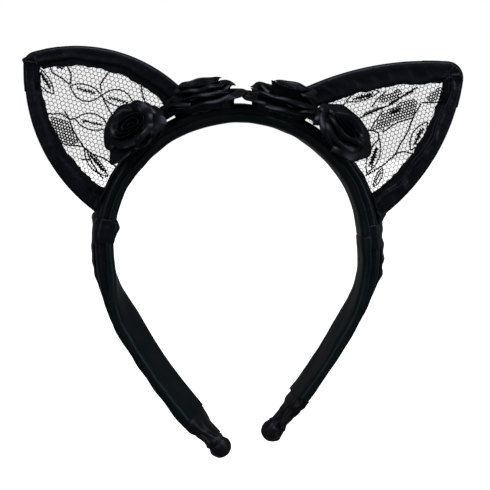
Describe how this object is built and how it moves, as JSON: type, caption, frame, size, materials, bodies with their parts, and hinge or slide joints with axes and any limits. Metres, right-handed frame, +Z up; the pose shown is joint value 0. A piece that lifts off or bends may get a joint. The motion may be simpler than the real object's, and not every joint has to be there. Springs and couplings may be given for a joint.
{
  "type": "cat ears headband",
  "caption": "Sprung headband covered in black satin, with wired cat ears of lace bound in satin ribbon, and rolled ribbon roses at the foot of each ear.",
  "frame": {"origin": "centre of the arch's inner circle, midway between its front and back edges", "axes": "+X to the viewer's right along the ears' spread, +Y to the back along the arch's axis, +Z up through the top of the arch"},
  "size_m": [0.1919, 0.0338, 0.1784],
  "materials": {
    "sprung_strip": "moulded, satin",
    "foam": "open foam strip",
    "band_satin": "polyester satin, greenish black",
    "ear_satin": "polyester satin ribbon, bluish black",
    "rose_ribbon": "rolled satin ribbon",
    "lace": "floral net lace",
    "wire": "drawn steel wire",
    "hot_glue": "clear hot-melt glue"
  },
  "bodies": {
    "band": {"core_arch": "sprung_strip", "pad_arch": "foam", "cover_arch": "band_satin", "lining_arch": "band_satin", "ear_base_strip_left": "ear_satin", "ear_base_strip_right": "ear_satin", "ear_tab_left": "ear_satin", "ear_tab_right": "ear_satin", "rose_top_left_bud": "rose_ribbon", "rose_top_left_petals": "rose_ribbon", "rose_top_left_glue": "hot_glue", "rose_top_right_bud": "rose_ribbon", "rose_top_right_petals": "rose_ribbon", "rose_top_right_glue": "hot_glue", "rose_low_left_bud": "rose_ribbon", "rose_low_left_petals": "rose_ribbon", "rose_low_left_glue": "hot_glue", "rose_low_right_bud": "rose_ribbon", "rose_low_right_petals": "rose_ribbon", "rose_low_right_glue": "hot_glue"},
    "leg_left": {"core_leg_left": "sprung_strip", "pad_leg_left": "foam", "cover_leg_left": "band_satin", "lining_leg_left": "band_satin", "tip_sock_left": "ear_satin"},
    "leg_right": {"core_leg_right": "sprung_strip", "pad_leg_right": "foam", "cover_leg_right": "band_satin", "lining_leg_right": "band_satin", "tip_sock_right": "ear_satin"},
    "ear_left": {"ear_wire_left": "wire", "ear_binding_upper_left": "ear_satin", "ear_binding_outer_left": "ear_satin", "ear_lace_left": "lace"},
    "ear_right": {"ear_wire_right": "wire", "ear_binding_upper_right": "ear_satin", "ear_binding_outer_right": "ear_satin", "ear_lace_right": "lace"}
  },
  "joints": [
    {"name": "leg_left_flex", "type": "hinge", "parent": "band", "child": "leg_left", "pos_m": [-0.05558, 0, -0.00831], "axis": [0, 1, 0], "range_deg": [-3, 35], "stiffness_Nm_per_rad": 0.5},
    {"name": "leg_right_flex", "type": "hinge", "parent": "band", "child": "leg_right", "pos_m": [0.05558, 0, -0.00831], "axis": [0, -1, 0], "range_deg": [-3, 35], "stiffness_Nm_per_rad": 0.5},
    {"name": "ear_left_tilt", "type": "hinge", "parent": "band", "child": "ear_left", "pos_m": [-0.0385, 0.0035, 0.03705], "axis": [-0.6936, 0, -0.7204], "range_deg": [0, 35]},
    {"name": "ear_right_tilt", "type": "hinge", "parent": "band", "child": "ear_right", "pos_m": [0.03775, 0.0035, 0.03525], "axis": [-0.6821, 0, 0.7313], "range_deg": [0, 35]}
  ]
}
